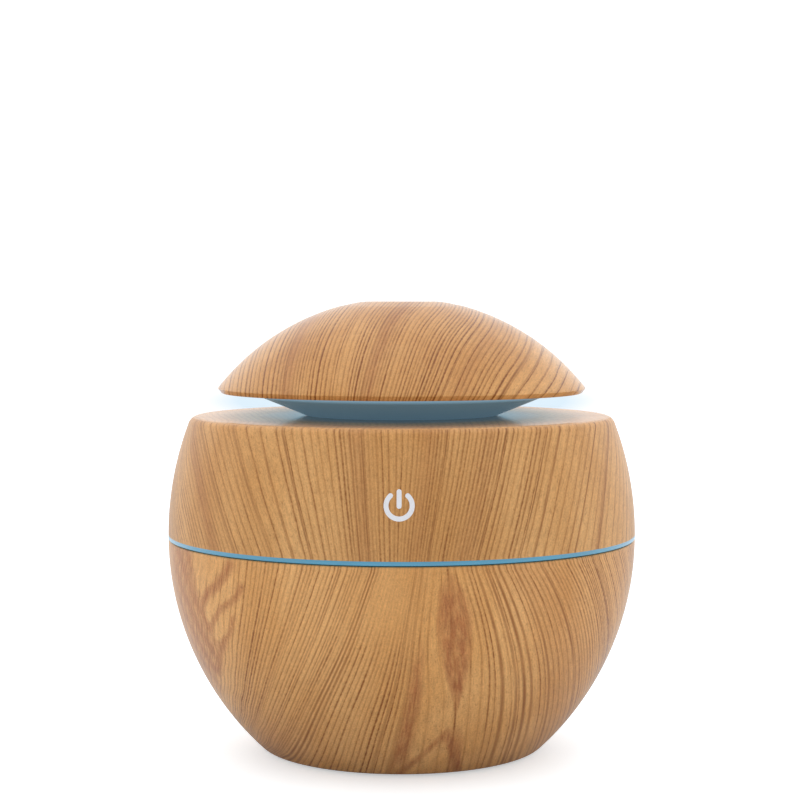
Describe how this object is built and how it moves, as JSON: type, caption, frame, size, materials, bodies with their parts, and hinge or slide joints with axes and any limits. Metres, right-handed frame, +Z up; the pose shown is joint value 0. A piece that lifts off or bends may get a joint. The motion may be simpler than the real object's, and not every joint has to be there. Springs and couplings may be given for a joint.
{
  "type": "essential oil diffuser",
  "caption": "Ball-shaped ultrasonic essential oil diffuser with a wood-print casing, a lift-off atomising head and a glowing seam ring.",
  "frame": {"origin": "centre of the base, on the surface it stands on", "axes": "+Z up along the body's axis; the touch key faces -Y, the USB socket faces +Y"},
  "size_m": [0.102, 0.102, 0.0978],
  "materials": {
    "wood_print": "satin wood-grain transfer print on moulded plastic",
    "light_diffuser": "translucent milky plastic, lit pale blue from inside",
    "white_plastic": "plain white moulding",
    "silicone": "translucent white silicone",
    "pad_rubber": "soft dark grey pad",
    "cotton": "pressed cotton stick",
    "steel": "bright plated steel",
    "piezo_disc": "metal-faced ceramic disc with fine pores at its middle",
    "circuit_board": "green solder mask",
    "led_package": "white package with a clear lens",
    "black_parts": "black mouldings and insulation",
    "copper": "bright copper foil",
    "red_lead": "red insulation"
  },
  "bodies": {
    "tank": {"tank_shell": "wood_print", "tank_liner": "white_plastic", "base_pad": "pad_rubber"},
    "seal": {"seal_ring": "silicone"},
    "head": {"upper_shell": "wood_print", "light_ring": "light_diffuser", "cone_diffuser": "light_diffuser", "cap_dome": "wood_print", "chassis": "white_plastic", "disc_seal": "silicone", "ultrasonic_disc": "piezo_disc", "disc_clamp": "white_plastic", "mist_chimney": "white_plastic", "main_board": "circuit_board", "led_1": "led_package", "led_2": "led_package", "led_3": "led_package", "led_4": "led_package", "controller_chip": "black_parts", "drive_transistor": "black_parts", "drive_coil": "black_parts", "capacitor": "black_parts", "usb_socket": "steel", "touch_plate": "copper", "disc_lead_live": "red_lead", "disc_lead_return": "black_parts", "touch_lead": "black_parts", "case_screw_1": "steel", "case_screw_2": "steel", "case_screw_3": "steel", "cone_screw_1": "steel", "cone_screw_2": "steel", "cone_screw_3": "steel", "board_screw_1": "steel", "board_screw_2": "steel", "board_screw_3": "steel", "clamp_screw_1": "steel", "clamp_screw_2": "steel", "clamp_screw_3": "steel"},
    "wick_holder": {"wick_holder": "white_plastic", "wick_spring": "steel"},
    "wick": {"wick": "cotton"}
  },
  "joints": [
    {"name": "head_lift", "type": "slide", "parent": "tank", "child": "seal", "axis": [0, 0, 1], "range_m": [0, 0.06]},
    {"name": "head_twist", "type": "hinge", "parent": "seal", "child": "head", "pos_m": [0, 0, 0.042], "axis": [0, 0, 1], "range_deg": [-30, 0]},
    {"name": "wick_holder_turn", "type": "hinge", "parent": "head", "child": "wick_holder", "pos_m": [0, 0, 0.045], "axis": [0, 0, 1], "range_deg": [0, 60]},
    {"name": "wick_press", "type": "slide", "parent": "wick_holder", "child": "wick", "axis": [0, 0, 1], "range_m": [-0.003, 0], "stiffness_N_per_m": 60, "springref_m": 0.003, "deforming": ["wick_spring"]}
  ]
}
